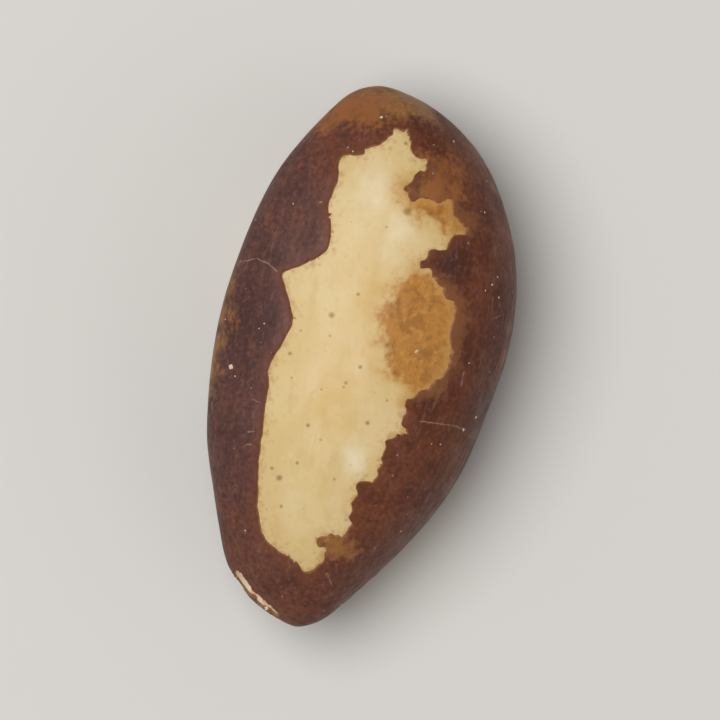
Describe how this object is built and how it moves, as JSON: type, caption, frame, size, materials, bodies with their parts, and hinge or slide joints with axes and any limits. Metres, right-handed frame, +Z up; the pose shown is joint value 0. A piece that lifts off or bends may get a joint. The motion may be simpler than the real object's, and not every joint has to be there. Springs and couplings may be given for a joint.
{
  "type": "brazil nut",
  "caption": "Shelled Brazil nut kernel, three-sided and slightly curved, with brown skin torn away in patches over cream flesh.",
  "frame": {"origin": "middle of the underside of the nut's box, on the surface that it lies on", "axes": "+X along the nut to its pointed end, +Y to its fuller side, +Z up through the broad face"},
  "size_m": [0.038, 0.0202, 0.0151],
  "materials": {
    "kernel": "satin brown seed skin, torn off in windows that bare waxy cream flesh"
  },
  "bodies": {
    "root": {"brazil_nut_kernel": "kernel"}
  },
  "joints": []
}
